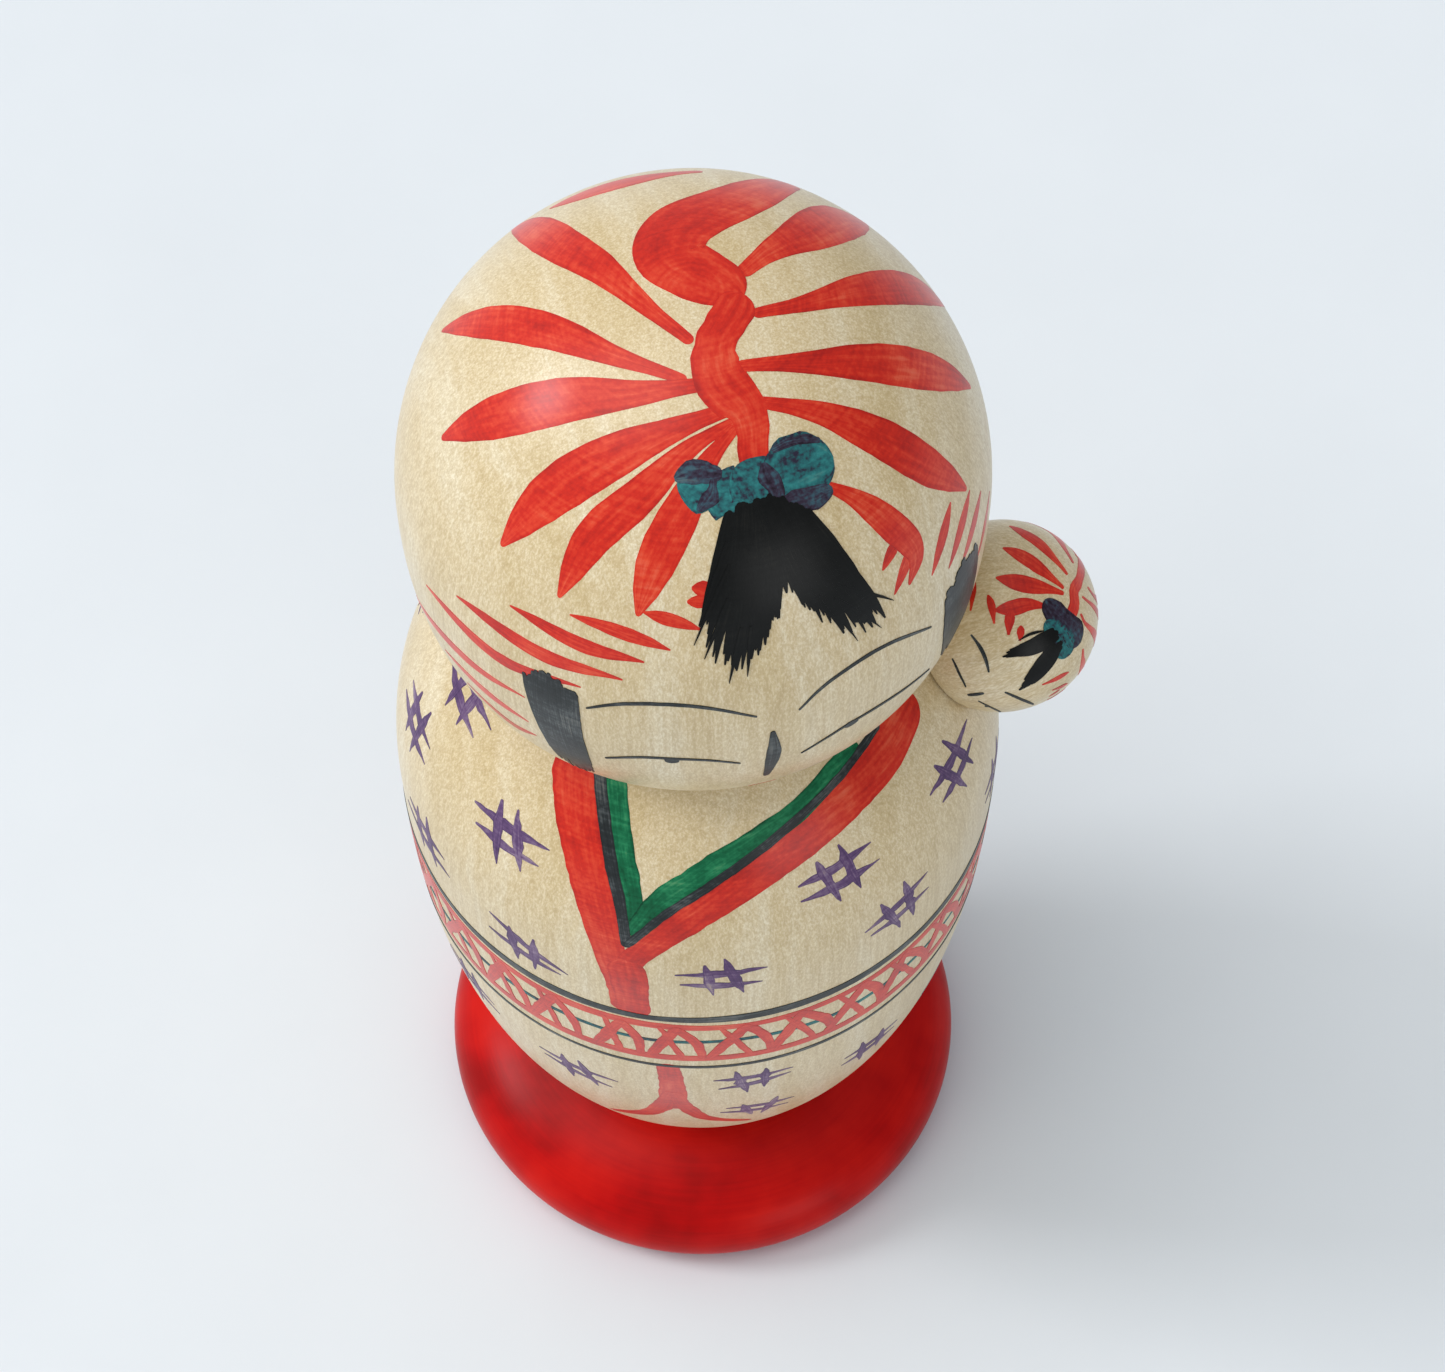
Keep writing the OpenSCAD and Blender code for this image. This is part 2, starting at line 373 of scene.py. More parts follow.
def curve_through(rows, steps=14):
    """A Catmull-Rom curve: it passes through every row, bending smoothly from each to the next."""
    p = np.array(rows, float)
    p = np.vstack([2 * p[0] - p[1], p, 2 * p[-1] - p[-2]])
    t = np.linspace(0, 1, steps, endpoint=False)[:, None]
    parts = [b + 0.5 * t * (c - a + t * (2 * a - 5 * b + 4 * c - d + t * (3 * (b - c) + d - a)))
             for a, b, c, d in zip(p, p[1:], p[2:], p[3:])]
    return np.vstack(parts + [p[-2:-1]])


def on_skin(on, turn, down, lift):
    """Points in the turning frame at a turn in radians and a distance down the skin, raised by
    `lift` along the skin's own outward direction."""
    r = np.interp(down, on.down, on.radius) + lift * np.interp(down, on.down, on.out)
    z = np.interp(down, on.down, on.height) + lift * np.interp(down, on.down, on.rise)
    return np.stack([r * np.sin(turn), -r * np.cos(turn), z], -1)


def stroke(on, path, width, shape, lift, rng, ragged=0.03):
    """One brush stroke as a thin closed shell. `path` is rows of (turn in degrees, mm down the
    skin). Its centre line is smooth on the flat map x = d sin t, y = -d cos t, and the brush is
    laid square across it: each point goes sideways by half the width, then back onto the skin
    by its angle from the middle. `shape` is the width along the stroke as parts of the whole,
    and `ragged` how far its sides stray in mm. The ends are round."""
    turn, down = np.radians([row[0] for row in path]), np.array([row[1] for row in path]) + on.start
    flat = curve_through(np.stack([down * np.sin(turn), -down * np.cos(turn)], 1))
    line = on_skin(on, np.arctan2(flat[:, 0], -flat[:, 1]), np.hypot(*flat.T), 0)
    far = np.r_[0, np.cumsum(np.linalg.norm(np.diff(line, axis=0), axis=1))]
    rows = max(7, math.ceil(1.5 * far[-1] / SEGMENT))
    s = far[-1] * (0.5 - 0.5 * np.cos(np.linspace(0, math.pi, rows)))
    flat = np.stack([np.interp(s, far, flat[:, 0]), np.interp(s, far, flat[:, 1])], 1)
    turn, down = np.arctan2(flat[:, 0], -flat[:, 1]), np.hypot(*flat.T)
    line, raised = on_skin(on, turn, down, 0), on_skin(on, turn, down, 1)
    ahead = np.gradient(line, s, axis=0)
    across = np.cross(raised - line, ahead)
    across /= np.linalg.norm(across, axis=1)[:, None]
    half = 0.5 * width * np.interp(s / far[-1], np.linspace(0, 1, len(shape)), shape)
    from_end = np.minimum(s, far[-1] - s) / np.maximum(half, 1e-6)
    half = half * np.sqrt(1 - (1 - from_end.clip(0.02, 1)) ** 2)
    knots = np.arange(0, far[-1] + 2 * SHAKE, SHAKE)
    share = ragged / max(width, 0.3)
    left = half * (1 + share * np.interp(s, knots, rng.normal(size=len(knots))))
    right = half * (1 + share * np.interp(s, knots, rng.normal(size=len(knots))))
    inner = np.linspace(-0.97, 0.97, max(2, math.ceil(width / COLUMN)) + 1)
    u = np.r_[-1, inner, 1]
    sideways = np.where(u < 0, u * left[:, None], u * right[:, None])
    spread = line[:, None] + across[:, None] * sideways[..., None]
    aim = np.arctan2(np.hypot(spread[..., 0], spread[..., 1]), spread[..., 2] - on.middle)
    turns = np.arctan2(spread[..., 0], -spread[..., 1])
    depth = np.interp(aim, on.angle, on.down)
    lifts = np.full(aim.shape, lift)
    lifts[:, [0, -1]] = INTO_WOOD
    lifts[[0, -1]] = INTO_WOOD
    points = on_skin(on, turns, depth, lifts)
    uv = np.stack(np.broadcast_arrays(s[:, None] + rng.uniform(0, 500), (u + 1) / 2), -1)
    i = np.arange(rows - 1)[:, None] * len(u)
    j = np.arange(len(u))
    k = np.roll(j, -1)
    faces = np.stack([i + j, i + len(u) + j, i + len(u) + k, i + k], -1).reshape(-1, 4).tolist()
    last = (rows - 1) * len(u)
    faces += [j.tolist(), (last + j[::-1]).tolist()]
    return points.reshape(-1, 3), faces, depth.ravel(), uv.reshape(-1, 2)


def paint(name, on, strokes, material, body_name):
    """All strokes of one colour on one piece, joined into one object that rides with it."""
    first = np.cumsum([0] + [len(points) for points, *_ in strokes])
    points = np.vstack([points for points, *_ in strokes])
    faces = [[v + start for v in face] for start, (_, own, *_) in zip(first, strokes) for face in own]
    depth = np.concatenate([down for _, _, down, _ in strokes])
    uv = np.vstack([uv for *_, uv in strokes])
    block = points + NEXT_BLOCK * on.seed
    piece = fill_mesh(name, into_doll(on.place, points), faces, block, depth, material, uv)
    piece.data.set_sharp_from_angle(angle=PAINT_EDGE)
    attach(piece, body_name)


# To a millimetre: streaks of the bristles 4.5 mm long, with seven across any stroke, pools of
# dye 4.5 mm wide, and freckles of 0.4 mm where the pores drink more.
BRISTLES, POOLS, FRECKLES = (0.22, 7.0, 1.0), 0.22, 2.4


def dyed_dogwood(name, tones, cover, roughness, coat, speckled=0.25):
    """Brushed dye in dogwood. The dye lies in long streaks the way the brush went, pools along the
    stroke's edges, misses some of the lathe's rings and, by 1 - `cover`, lets the wood through.
    `tones` run from thin dye to pooled dye, and `speckled` is how much the pores show in it."""
    material, tree, shader = new_material(name)
    wood, relief, rings = dogwood(tree)
    brush = add(tree, "UVMap", uv_map="brush").outputs["UV"]
    long_way = add(tree, "Mapping", {"Vector": brush, "Scale": BRISTLES}).outputs[0]
    streaks = add(tree, "TexNoise", {"Vector": long_way, "Scale": 1.0, "Detail": 3.0}).outputs["Fac"]
    block = add(tree, "Attribute", attribute_name="block_mm").outputs["Vector"]
    pools = add(tree, "TexNoise", {"Vector": block, "Scale": POOLS, "Detail": 3.0}).outputs["Fac"]
    side = add(tree, "SeparateXYZ", {"Vector": brush}).outputs["Y"]
    off_centre = add(tree, "Math", {0: side, 1: 0.5}, operation="SUBTRACT").outputs[0]
    from_centre = add(tree, "Math", {0: off_centre}, operation="ABSOLUTE").outputs[0]
    rim = add(tree, "MapRange", {"Value": from_centre, "From Min": 0.4, "From Max": 0.5,
                                 "To Min": 0.0, "To Max": 0.12}).outputs[0]
    load = add(tree, "Math", {0: streaks, 1: 0.45, 2: rim}, operation="MULTIPLY_ADD").outputs[0]
    amount = add(tree, "Math", {0: pools, 1: 0.55, 2: load}, operation="MULTIPLY_ADD").outputs[0]
    missed = add(tree, "Math", {0: rings, 1: 0.2, 2: amount}, operation="MULTIPLY_ADD").outputs[0]
    freckles = add(tree, "TexNoise", {"Vector": block, "Scale": FRECKLES, "Detail": 2.0}).outputs["Fac"]
    soaked = add(tree, "Math", {0: freckles, 1: speckled, 2: missed},
                 operation="MULTIPLY_ADD").outputs[0]
    middle = 0.62 + 0.5 * speckled
    thin, full, pooled = tones
    dye = add(tree, "ValToRGB", {"Fac": soaked},
              [(middle - 0.18, thin), (middle, full), (middle + 0.2, pooled)]).outputs[0]
    covered = add(tree, "ValToRGB", {"Fac": missed},
                  [(0.38, "#000000"), (0.52, "#ffffff")]).outputs[0]
    cover_value = add(tree, "Math", {0: covered, 1: 1 - cover, 2: cover},
                      operation="MULTIPLY_ADD").outputs[0]
    colour = add(tree, "Mix", {0: cover_value, 6: wood, 7: dye}, data_type="RGBA").outputs[2]
    tree.links.new(colour, shader.inputs["Base Color"])
    wax(tree, shader, relief, roughness, coat, gleam=0.06)
    return material


# Red dye brushed on bare wood and waxed: bright vermilion, deeper where it pooled, and glossy
# enough to show the window.
red_dye = dyed_dogwood("red_dye_in_wood", ("#e0482a", "#cd2512", "#a8140c"), 0.9, 0.36, 0.6)
rng = np.random.default_rng(7)

# Each row is a stroke's breadth in mm, then its (turn, down) places from the tip to the stem.
PETALS = [
    (4.0, (-151, 27.8), (-141, 15.5), (-129, 8.6), (-82, 3.9), (-13, 5.0)),
    (3.6, (-117, 26.5), (-109, 18.3), (-95, 12.5), (-63, 8.6), (-17, 8.4)),
    (4.4, (-88, 26.7), (-79, 19.6), (-66, 14.2), (-40, 10.2), (-2, 8.8)),
    (4.4, (-59, 28.1), (-53, 21.3), (-40, 15.8), (-22, 12.6), (4, 11.2)),
    (3.5, (-43, 29.5), (-39, 23.2), (-29, 18.3), (-16, 14.2), (3, 12.3)),
    (3.7, (-26, 29), (-23, 23.9), (-18, 19.6), (-10, 15.5), (3, 12.7)),
    (3.8, (-156, 22.6), (-166, 20.2), (180, 19.0), (162, 20.0)),
    (5.2, (122, 27), (120, 20.5), (116, 14), (112, 8.5), (100, 4.6)),
    (3.9, (101, 32.4), (94, 21.1), (86, 14.5), (74, 9.6), (54, 5.6)),
    (4.0, (78, 31), (70, 22.6), (60, 16.3), (46, 11.8), (14, 8)),
    (3.9, (56, 33), (50, 26.9), (44, 20.9), (34, 15.3), (13, 11.2)),
    (2.9, (32, 33.9), (36, 31.5), (33, 27), (28, 22.8), (20, 19.5)),
]
PETAL_LIFT, PETAL_STEP = 0.012, 0.002
STEM = [(5, 18), (6, 15.5), (9, 13), (9, 11), (3, 9.3), (2, 7.2), (10, 5.2), (40, 4.1), (74, 4.4)]
STEM_SHAPE = (0.6, 0.6, 0.62, 0.75, 1.0, 1.0, 0.85, 0.75, 0.8, 0.9)
STEM_BREADTH, STEM_LIFT, STEM_RAGGED = 4.4, 0.041, 0.2
LOOP = [(140, 24), (143, 16.3), (149, 12.2), (172, 7.8), (-172, 4.6), (160, 2.2), (90, 2.8),
        (70, 4.4)]
LOOP_SHAPE = (0.35, 0.6, 0.8, 0.9, 1.0, 1.0, 0.95, 0.7)
LOOP_BREADTH, LOOP_LIFT = 6.4, 0.038
SIDE_STROKES = [
    (1.3, (34, 28.6), (27, 30.4)), (1.4, (38, 30), (28, 33.6)), (1.5, (50, 31.4), (38, 35.4)),
    (1.5, (57, 33.6), (43, 37)), (1.4, (61, 36.2), (47, 39)), (1.4, (66, 39.6), (54, 43)),
    (1.5, (-19, 32.1), (-29, 30.9), (-40, 30.7)), (1.7, (-24, 33.7), (-37, 33.4), (-53, 33)),
    (1.8, (-28, 36.2), (-45, 36.4), (-66, 37)), (1.6, (-36, 38.6), (-54, 40.3), (-76, 41)),
    (1.4, (-48, 44.3), (-62, 45.4), (-86, 50)), (1.3, (-48, 49), (-58, 48.9), (-72, 49.7)),
    (1.3, (-47, 51.5), (-54, 52.7), (-66, 52.2)), (1.3, (-16, 27.2), (-10, 27.3)),
    (1.6, (-15, 25.9), (-9, 26.3)), (1.4, (-25, 28.5), (-13, 29.9)),
]
SIDE_LIFT, SIDE_STEP = 0.014, 0.001
red_strokes = [stroke(head, places, breadth, LEAF, PETAL_LIFT + PETAL_STEP * i, rng)
               for i, (breadth, *places) in enumerate(PETALS)]
red_strokes.append(stroke(head, LOOP, LOOP_BREADTH, LOOP_SHAPE, LOOP_LIFT, rng))
red_strokes.append(stroke(head, STEM, STEM_BREADTH, STEM_SHAPE, STEM_LIFT, rng, STEM_RAGGED))
red_strokes += [stroke(head, places, breadth, SPIKE, SIDE_LIFT + SIDE_STEP * i, rng)
                for i, (breadth, *places) in enumerate(SIDE_STROKES)]
paint("mother_crown_flower", head, red_strokes, red_dye, "mother_head")


# --------------------------------------------------------------------
# The knot of the mother's topknot cord: three dabs of blue-green dye over the stem, side
# by side, with the red beneath making them darker.
# --------------------------------------------------------------------
# Teal dye over bare wood: blue-green, freckled dark by the pores, with a dull sheen.
teal_dye = dyed_dogwood("teal_dye_in_wood", ("#34807f", "#2a6265", "#2f2a3a"), 0.88, 0.42, 0.1,
                        speckled=0.5)
KNOT_LIFT, KNOT_STEP, KNOT_RAGGED = 0.056, 0.003, 0.35
KNOT_SHAPE = (0.8, 1.0, 1.0, 0.85)
KNOT = [
    (4.2, (-19, 16.8), (-10, 17.4), (0, 18.8)),
    (5.2, (-1, 16), (4, 18), (4, 20)),
    (6.2, (7, 18.2), (17, 18), (28, 19.2)),
]
knot = [stroke(head, places, breadth, KNOT_SHAPE, KNOT_LIFT + KNOT_STEP * i, rng, KNOT_RAGGED)
        for i, (breadth, *places) in enumerate(KNOT)]
paint("mother_knot", head, knot, teal_dye, "mother_head")

# Teal dye over red: where the two lie on each other they turn to a dark plum.
plum_dye = dyed_dogwood("teal_over_red_dye_in_wood", ("#3c5a66", "#38303f", "#261c26"), 0.9, 0.42,
                        0.1, speckled=0.5)
FOLD_LIFT, FOLD_STEP, FOLD_RAGGED = 0.067, 0.001, 0.3
FOLD_SHAPE = (0.5, 1.0, 1.0, 0.5)
KNOT_FOLDS = [
    (2.0, (-20, 16.6), (-13, 16.1), (-5, 16.4)), (1.6, (8, 16.2), (9, 18), (9, 20)),
    (2.3, (7, 20.3), (15, 20.6), (24, 21)), (0.9, (12, 15.6), (20, 15.7), (28, 17)),
    (1.0, (-13, 19.3), (-9, 17.9), (-8, 16.6)),
]
folds = [stroke(head, places, breadth, FOLD_SHAPE, FOLD_LIFT + FOLD_STEP * i, rng, FOLD_RAGGED)
         for i, (breadth, *places) in enumerate(KNOT_FOLDS)]
paint("mother_knot_folds", head, folds, plum_dye, "mother_head")


# --------------------------------------------------------------------
# The mother's hair and face in black ink: a forelock that parts into two locks of dry
# brush hairs, a lock before each ear, thin brows, closed eyes and a drop-shaped nose.
# --------------------------------------------------------------------
# Black ink laid thick: it covers the wood completely and is nearly as glossy as the wax.
ink = dyed_dogwood("black_ink_on_wood", ("#141514", "#0c0d0c", "#070807"), 0.99, 0.36, 0.22)
# The same ink let down with water: slate grey, with the wood showing through where it is thin.
slate_ink = dyed_dogwood("thin_black_ink_on_wood", ("#565b5c", "#2b2f30", "#1c1f20"), 0.88, 0.4, 0.3)
HAIR_SHAPE = (0.6, 1.0, 1.0, 0.8, 0.15)
HAIR_STEP, HAIR_RAGGED = 0.0006, 0.05


def lock(on, roots, tips, hairs, breadth, lift, rng, uneven):
    """A lock of brush hairs: hair number i starts on the line of `roots`, ends near the line of
    `tips`, and each stops short or runs on by a random part of `uneven` mm."""
    made = []
    for i, part in enumerate(np.linspace(0, 1, hairs)):
        spots = [[np.interp(part, np.linspace(0, 1, len(row)), [p[axis] for p in row])
                  for axis in (0, 1)] for row in (roots, tips)]
        (t0, d0), (t1, d1) = spots
        t1, d1 = t1 + rng.normal() * 0.5, d1 + rng.uniform(-uneven, uneven * 0.4)
        middle = ((t0 + t1) / 2 + rng.normal() * 0.3, (d0 + d1) / 2)
        made.append(stroke(on, [(t0, d0 + rng.uniform(-0.6, 0.4)), middle, (t1, d1)],
                           breadth * rng.uniform(0.75, 1.25), HAIR_SHAPE,
                           lift + HAIR_STEP * i, rng, HAIR_RAGGED))
    return made


FORELOCK_HAIRS, FORELOCK_BREADTH = 40, 0.95
FORELOCK = [
    ([(-5, 19.8), (1, 19.2), (7, 19.4)],
     [(-13, 30.5), (-10, 33), (-7, 34), (-3, 33.2), (1, 31), (6, 28.4)], 0.075, 2.2),
    ([(3, 19.3), (9, 19.6), (15, 21.6)],
     [(7, 28), (11, 31.5), (16, 34), (20, 35), (25, 34.6)], 0.095, 1.4),
]
hair = []
for roots, tips, lift, uneven in FORELOCK:
    hair += lock(head, roots, tips, FORELOCK_HAIRS, FORELOCK_BREADTH, lift, rng, uneven)
STRAY_BREADTH, STRAY_LIFT, STRAY_STEP = 0.4, 0.12, 0.001
STRAY_SHAPE = (0.6, 1.0, 0.7, 0.1)
STRAYS = [
    ((-6, 22), (-13.5, 29.5)), ((-6, 24), (-14.5, 31.5)), ((-7, 27), (-12.5, 33)),
    ((-5, 30), (-8, 36)), ((-3, 30), (-4.5, 35.5)), ((16, 29), (27.5, 34)),
    ((15, 30), (23.5, 36)), ((12, 29), (18, 35.8)),
]
hair += [stroke(head, [root, tip], STRAY_BREADTH, STRAY_SHAPE, STRAY_LIFT + STRAY_STEP * i, rng,
                HAIR_RAGGED)
         for i, (root, tip) in enumerate(STRAYS)]
paint("mother_forelock", head, hair, ink, "mother_head")

SIDE_BREADTH, SIDE_LOCK_LIFT, SIDE_UNEVEN = 0.85, 0.07, 1.0
SIDE_LOCKS = [
    ([(-48, 40.2), (-44, 38.7), (-41, 38.9), (-37, 39.8)],
     [(-45.5, 49), (-43.5, 54.5), (-40, 57.9), (-37, 56.6), (-35, 53.5)], 24),
    ([(54, 40.2), (48, 38.9), (41, 40)], [(54, 50.5), (48, 53), (43, 51.6)], 22),
]
side_locks = []
for roots, tips, hairs in SIDE_LOCKS:
    side_locks += lock(head, roots, tips, hairs, SIDE_BREADTH, SIDE_LOCK_LIFT, rng, SIDE_UNEVEN)
paint("mother_side_locks", head, side_locks, slate_ink, "mother_head")

FACE_LINES = [
    (0.42, (-35, 41.4), (-27, 39.2), (-14, 38.8), (-3, 41.2)),
    (0.42, (5, 41.8), (11, 39.3), (23, 38.5), (36, 41.8)),
    (0.38, (-32, 50), (-25, 48.2), (-19, 47.8), (-12, 48.1), (-6, 49.4)),
    (0.4, (6, 50.4), (12, 48.9), (16, 48.3), (23, 48.4), (30, 49.2), (38, 50.9)),
    (0.9, (-20.5, 48.2), (-17.5, 48.2)), (0.9, (14.8, 48.5), (18.2, 48.5)),
]
FACE_LIFT, FACE_STEP = 0.07, 0.002
LINE_SHAPE = (0.5, 1.0, 1.1, 0.9, 0.5)
NOSE = [(0, 44.2), (0.4, 48), (0, 51), (-0.6, 54.1)]
NOSE_BREADTH, NOSE_SHAPE = 1.3, (0.3, 0.75, 1.1, 1.0, 0.7, 0.4)
MOUTH = [(-3.2, 59.6), (0, 60.1), (3.2, 59.6)]
MOUTH_BREADTH, MOUTH_LIFT = 1.1, 0.03
face = [stroke(head, places, breadth, LINE_SHAPE, FACE_LIFT + FACE_STEP * i, rng)
        for i, (breadth, *places) in enumerate(FACE_LINES)]
face.append(stroke(head, NOSE, NOSE_BREADTH, NOSE_SHAPE, FACE_LIFT, rng))
paint("mother_face_lines", head, face, slate_ink, "mother_head")
mouth = [stroke(head, MOUTH, MOUTH_BREADTH, SPIKE, MOUTH_LIFT, rng)]
paint("mother_mouth", head, mouth, red_dye, "mother_head")


# --------------------------------------------------------------------
# The kimono collar and its front edge: red dye in a band on each side of the neck that
# crosses left over right, a stripe down to the hem, and thin strokes fanning out below.
# --------------------------------------------------------------------
# Each row is a breadth in mm, the shape along the stroke, then its (turn, down) places.
KIMONO_RED = [
    (4.6, (1.0, 1.0, 0.95, 0.8, 0.7, 0.75), (-26, 0.4), (-18.9, 5.5), (-13, 10.8), (-9, 16),
     (-6.2, 21.5), (-4.0, 27.5), (-2.9, 33.4)),
    (4.9, (0.5, 0.65, 0.85, 1.0, 1.0, 0.8), (-3.8, 25), (-0.8, 20.8), (8.9, 15), (21.9, 10.4),
     (35.9, 7.6), (50.7, 6), (64, 5.2), (77, 4.2)),
    (4.0, (1.0, 1.0, 0.9, 0.9), (-3.2, 22), (-2.4, 27), (-1.9, 34)),
    (3.2, (0.8, 0.85, 1.0, 0.7), (3.9, 45.8), (4.6, 54), (4.2, 62)),
    (2.4, (0.6, 1.0, 0.8, 0.3), (4, 55), (1.5, 62), (-3, 67), (-12, 72.5)),
    (2.2, (0.6, 1.0, 0.8, 0.3), (5, 55), (7, 61), (12, 67), (22, 72)),
]
KIMONO_LIFT, KIMONO_STEP, KIMONO_RAGGED = 0.012, 0.003, 0.12
kimono = [stroke(body, places, breadth, shape, KIMONO_LIFT + KIMONO_STEP * i, rng, KIMONO_RAGGED)
          for i, (breadth, shape, *places) in enumerate(KIMONO_RED)]

# The sash: rings round the doll, told by their mm down the body, with hand-drawn diagonals
# between the red ones.
SASH_TOP, SASH_RED_TOP, SASH_MIDDLE, SASH_RED_LOW, SASH_LOW = 33.6, 35.6, 39.5, 43.8, 46.3


def ring(on, down, breadth, lift, rng, waver=0.12):
    """A line drawn right round while the piece turns, a little unsteady in height and breadth. It
    is set by a height every 20 degrees, and its end runs over its start at the same heights."""
    turns = np.arange(-180, 201, 20)
    heights = np.resize(down + waver * rng.normal(size=18), len(turns))
    shape = 1 + 0.12 * rng.normal(size=24)
    return stroke(on, list(zip(turns, heights)), breadth, shape, lift, rng)


# Each ring's mm down, breadth and lift. A zigzag takes 12 degrees and sways by about one.
RED_RINGS = [(SASH_RED_TOP, 1.3, 0.04), (SASH_RED_LOW, 1.5, 0.043)]
ZIGZAG_TURN, ZIGZAG_PEAK, ZIGZAG_SWAY = 12.0, 0.55, 0.9
ZIGZAG_LIFT, ZIGZAG_STEP, ZIGZAG_STAGGER = 0.046, 0.0004, 0.0002
kimono += [ring(body, down, breadth, lift, rng) for down, breadth, lift in RED_RINGS]
for i, turn in enumerate(np.arange(-180, 180, ZIGZAG_TURN)):
    corners = [0, ZIGZAG_TURN * ZIGZAG_PEAK, ZIGZAG_TURN]
    start, top, end = turn + rng.normal(size=3) * ZIGZAG_SWAY + corners
    rise, fall = (start + top) / 2, (end + top) / 2 + 1
    diagonals = [
        (1.5, (0.7, 1.0, 0.8), (start, SASH_RED_LOW), (rise, SASH_MIDDLE), (top, SASH_RED_TOP)),
        (1.3, (0.9, 1.0, 0.6), (top - 1, SASH_RED_TOP), (fall, SASH_MIDDLE), (end, SASH_RED_LOW)),
        (0.9, (0.6, 1.0, 0.8), (start + 2, SASH_RED_TOP), (end - 4, SASH_RED_LOW)),
    ]
    for j, (breadth, shape, *places) in enumerate(diagonals):
        lift = ZIGZAG_LIFT + ZIGZAG_STEP * i + ZIGZAG_STAGGER * j
        kimono.append(stroke(body, places, breadth, shape, lift, rng, KIMONO_RAGGED))
paint("kimono_red", body, kimono, red_dye, "figure")


# --------------------------------------------------------------------
# The green under-collar: dye in a narrow band inside the red one on each side of the neck,
# meeting in a point low on the chest.
# --------------------------------------------------------------------
# Green dye on bare wood: a cool bottle green, uneven along the brush.
green_dye = dyed_dogwood("green_dye_in_wood", ("#2f8a5c", "#176642", "#0d3f28"), 0.88, 0.42, 0.1)
COLLAR_LIFT, COLLAR_STEP, COLLAR_RAGGED = 0.034, 0.003, 0.1
UNDER_COLLAR = [
    (2.8, (1.0, 1.0, 1.0, 0.8), (-13, 1), (-9, 5), (-5.5, 9.5), (-3, 13.5), (-2.3, 18)),
    (3.2, (0.7, 1.0, 1.0, 0.8, 0.7, 0.6), (-2, 17.8), (3.5, 13.2), (11, 10.2), (24, 6.9),
     (37, 4.9), (56, 2.6)),
]
collar = [stroke(body, places, breadth, shape, COLLAR_LIFT + COLLAR_STEP * i, rng, COLLAR_RAGGED)
          for i, (breadth, shape, *places) in enumerate(UNDER_COLLAR)]
paint("under_collar", body, collar, green_dye, "figure")


# --------------------------------------------------------------------
# Black lines on the kimono: one between the two collars on each side, a broad one over the
# sash and a hair-thin one under it, with a faint teal thread through the sash's middle.
# --------------------------------------------------------------------
COLLAR_LINES = [
    (1.35, (-17.6, 0.6), (-11.4, 5.6), (-7.4, 10.3), (-4.6, 14.6), (-2.9, 19.9)),
    (1.0, (-3, 19.6), (4.4, 14.4), (13, 11), (24.2, 7.9), (35.6, 5.7), (49.4, 4), (64, 2.9)),
]
COLLAR_SHAPE = (0.9, 1.0, 0.8)
LINE_LIFT, LINE_STEP, LINE_RAGGED = 0.055, 0.003, 0.06
BLACK_RINGS, BLACK_RING_LIFT = [(SASH_TOP, 1.3), (SASH_LOW, 0.6)], 0.06
THREAD_BREADTH, THREAD_LIFT, THREAD_WAVER = 0.7, 0.036, 0.25
lines = [stroke(body, places, breadth, COLLAR_SHAPE, LINE_LIFT + LINE_STEP * i, rng, LINE_RAGGED)
         for i, (breadth, *places) in enumerate(COLLAR_LINES)]
lines += [ring(body, down, breadth, BLACK_RING_LIFT, rng) for down, breadth in BLACK_RINGS]
paint("kimono_black", body, lines, slate_ink, "figure")
thread = [ring(body, SASH_MIDDLE, THREAD_BREADTH, THREAD_LIFT, rng, THREAD_WAVER)]
paint("sash_thread", body, thread, teal_dye, "figure")


# --------------------------------------------------------------------
# The kimono's pattern: little crossed marks, two strokes over two, in purple dye that has
# faded and lies ragged where the brush was nearly dry. They go all round.
# --------------------------------------------------------------------
# Purple dye put on thin: a greyed violet with the wood's colour coming through.
purple_dye = dyed_dogwood("purple_dye_in_wood", ("#8f7a92", "#63496f", "#412f52"), 0.6, 0.42, 0.15)
MARK_PLACES = [
    (-31, 12.7), (-66, 14.9), (-60, 5.7), (-52.5, 25.4), (-24, 28), (39.4, 13.7), (51, 24),
    (14.6, 24.6), (74, 14), (88, 26), (-88, 27), (-98, 13), (-122, 24), (-135, 10), (-155, 24),
    (-172, 12), (170, 27), (150, 14), (132, 26), (112, 20), (21, 52), (-16, 56), (23, 64),
    (49, 58), (-45, 53), (-70, 62), (-95, 53), (-125, 61), (-150, 53), (-178, 61), (155, 53),
    (128, 60), (102, 53), (76, 62),
]
MARK_LONG, MARK_TALL, MARK_BREADTH = 9.2, 7.4, 1.15
